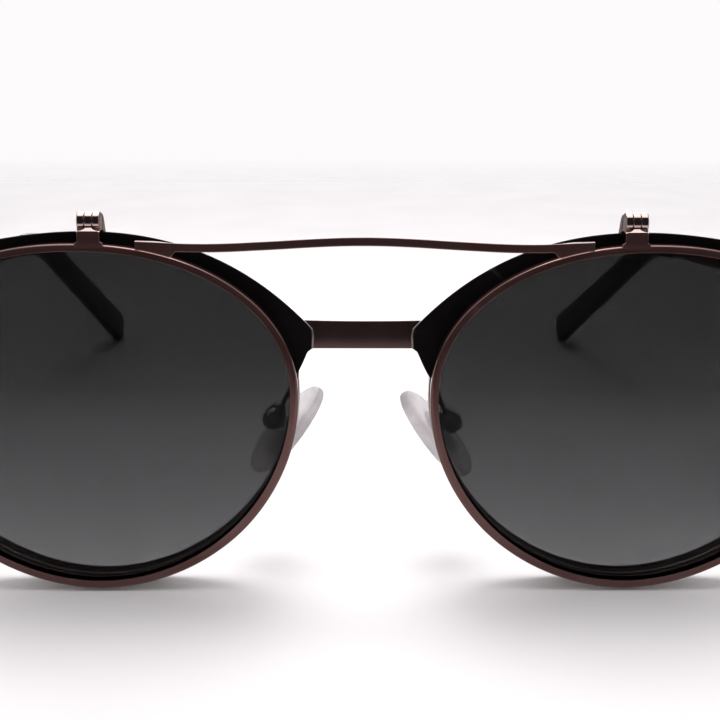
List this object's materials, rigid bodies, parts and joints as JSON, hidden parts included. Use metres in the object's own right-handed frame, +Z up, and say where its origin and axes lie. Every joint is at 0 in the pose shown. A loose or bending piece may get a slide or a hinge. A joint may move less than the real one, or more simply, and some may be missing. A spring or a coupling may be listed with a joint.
{
  "type": "flip-up clip on sunglasses on round browline spectacles",
  "caption": "Round browline spectacles with folding temples and rocking nose pads, carrying a flip-up sunglass clip that hooks over the brow and lifts off.",
  "frame": {"origin": "on the table under the middle of the box round the opened spectacles", "axes": "+X to the viewer's right seen from the front, +Y from the lenses towards the temple tips, +Z up"},
  "size_m": [0.136, 0.1454, 0.0507],
  "materials": {
    "bronze_metal": "satin bronze-brown plating",
    "rose_metal": "polished rose-bronze plating",
    "steel": "turned",
    "brow_black": "satin black",
    "tip_black": "polished black acetate",
    "box_black": "dark plating",
    "clear_lens": "clear, coated",
    "sun_lens": "grey tint, darker at the top",
    "silicone": "clear soft silicone",
    "pad_core": "clear moulded",
    "sleeve_rubber": "matt"
  },
  "bodies": {
    "frame": {"left_rim": "bronze_metal", "right_rim": "bronze_metal", "left_rim_screw": "steel", "right_rim_screw": "steel", "left_clear_lens": "clear_lens", "right_clear_lens": "clear_lens", "left_brow": "brow_black", "right_brow": "brow_black", "left_brow_screws": "steel", "right_brow_screws": "steel", "left_pad_arm": "bronze_metal", "right_pad_arm": "bronze_metal", "left_pad_box": "box_black", "right_pad_box": "box_black", "left_pad_screw": "steel", "right_pad_screw": "steel", "left_endpiece": "bronze_metal", "right_endpiece": "bronze_metal", "left_endpiece_rivets": "steel", "right_endpiece_rivets": "steel", "left_front_leaf": "rose_metal", "right_front_leaf": "rose_metal", "left_hinge_screw": "steel", "right_hinge_screw": "steel", "bridge": "bronze_metal"},
    "left_pad": {"left_nose_pad": "silicone", "left_pad_core": "pad_core"},
    "right_pad": {"right_nose_pad": "silicone", "right_pad_core": "pad_core"},
    "left_temple": {"left_temple_arm": "bronze_metal", "left_temple_leaf": "rose_metal", "left_temple_tip": "tip_black"},
    "right_temple": {"right_temple_arm": "bronze_metal", "right_temple_leaf": "rose_metal", "right_temple_tip": "tip_black"},
    "clip_mount": {"left_hook": "rose_metal", "right_hook": "rose_metal", "left_hook_sleeve": "sleeve_rubber", "right_hook_sleeve": "sleeve_rubber", "left_flip_pin": "rose_metal", "right_flip_pin": "rose_metal"},
    "clip_front": {"left_clip_rim": "bronze_metal", "right_clip_rim": "bronze_metal", "left_sun_lens": "sun_lens", "right_sun_lens": "sun_lens", "left_flip_leaf": "rose_metal", "right_flip_leaf": "rose_metal", "brow_bar": "bronze_metal"}
  },
  "joints": [
    {"name": "clip_lift", "type": "slide", "parent": "frame", "child": "clip_mount", "axis": [0, 0, 1], "range_m": [0, 0.06]},
    {"name": "clip_flip", "type": "hinge", "parent": "clip_mount", "child": "clip_front", "pos_m": [0, -0.07026, 0.04955], "axis": [-1, 0, 0], "range_deg": [0, 95]},
    {"name": "left_temple_fold", "type": "hinge", "parent": "frame", "child": "left_temple", "pos_m": [-0.0656, -0.06066, 0.038], "axis": [0, 0, -1], "range_deg": [0, 74]},
    {"name": "right_temple_fold", "type": "hinge", "parent": "frame", "child": "right_temple", "pos_m": [0.0656, -0.06066, 0.038], "axis": [0, 0, 1], "range_deg": [0, 78]},
    {"name": "left_pad_rock", "type": "hinge", "parent": "frame", "child": "left_pad", "pos_m": [-0.01236, -0.05895, 0.02063], "axis": [-0.2658, 0.9397, 0.2152], "range_deg": [-8, 8]},
    {"name": "right_pad_rock", "type": "hinge", "parent": "frame", "child": "right_pad", "pos_m": [0.01236, -0.05895, 0.02063], "axis": [0.2658, 0.9397, 0.2152], "range_deg": [-8, 8]}
  ]
}
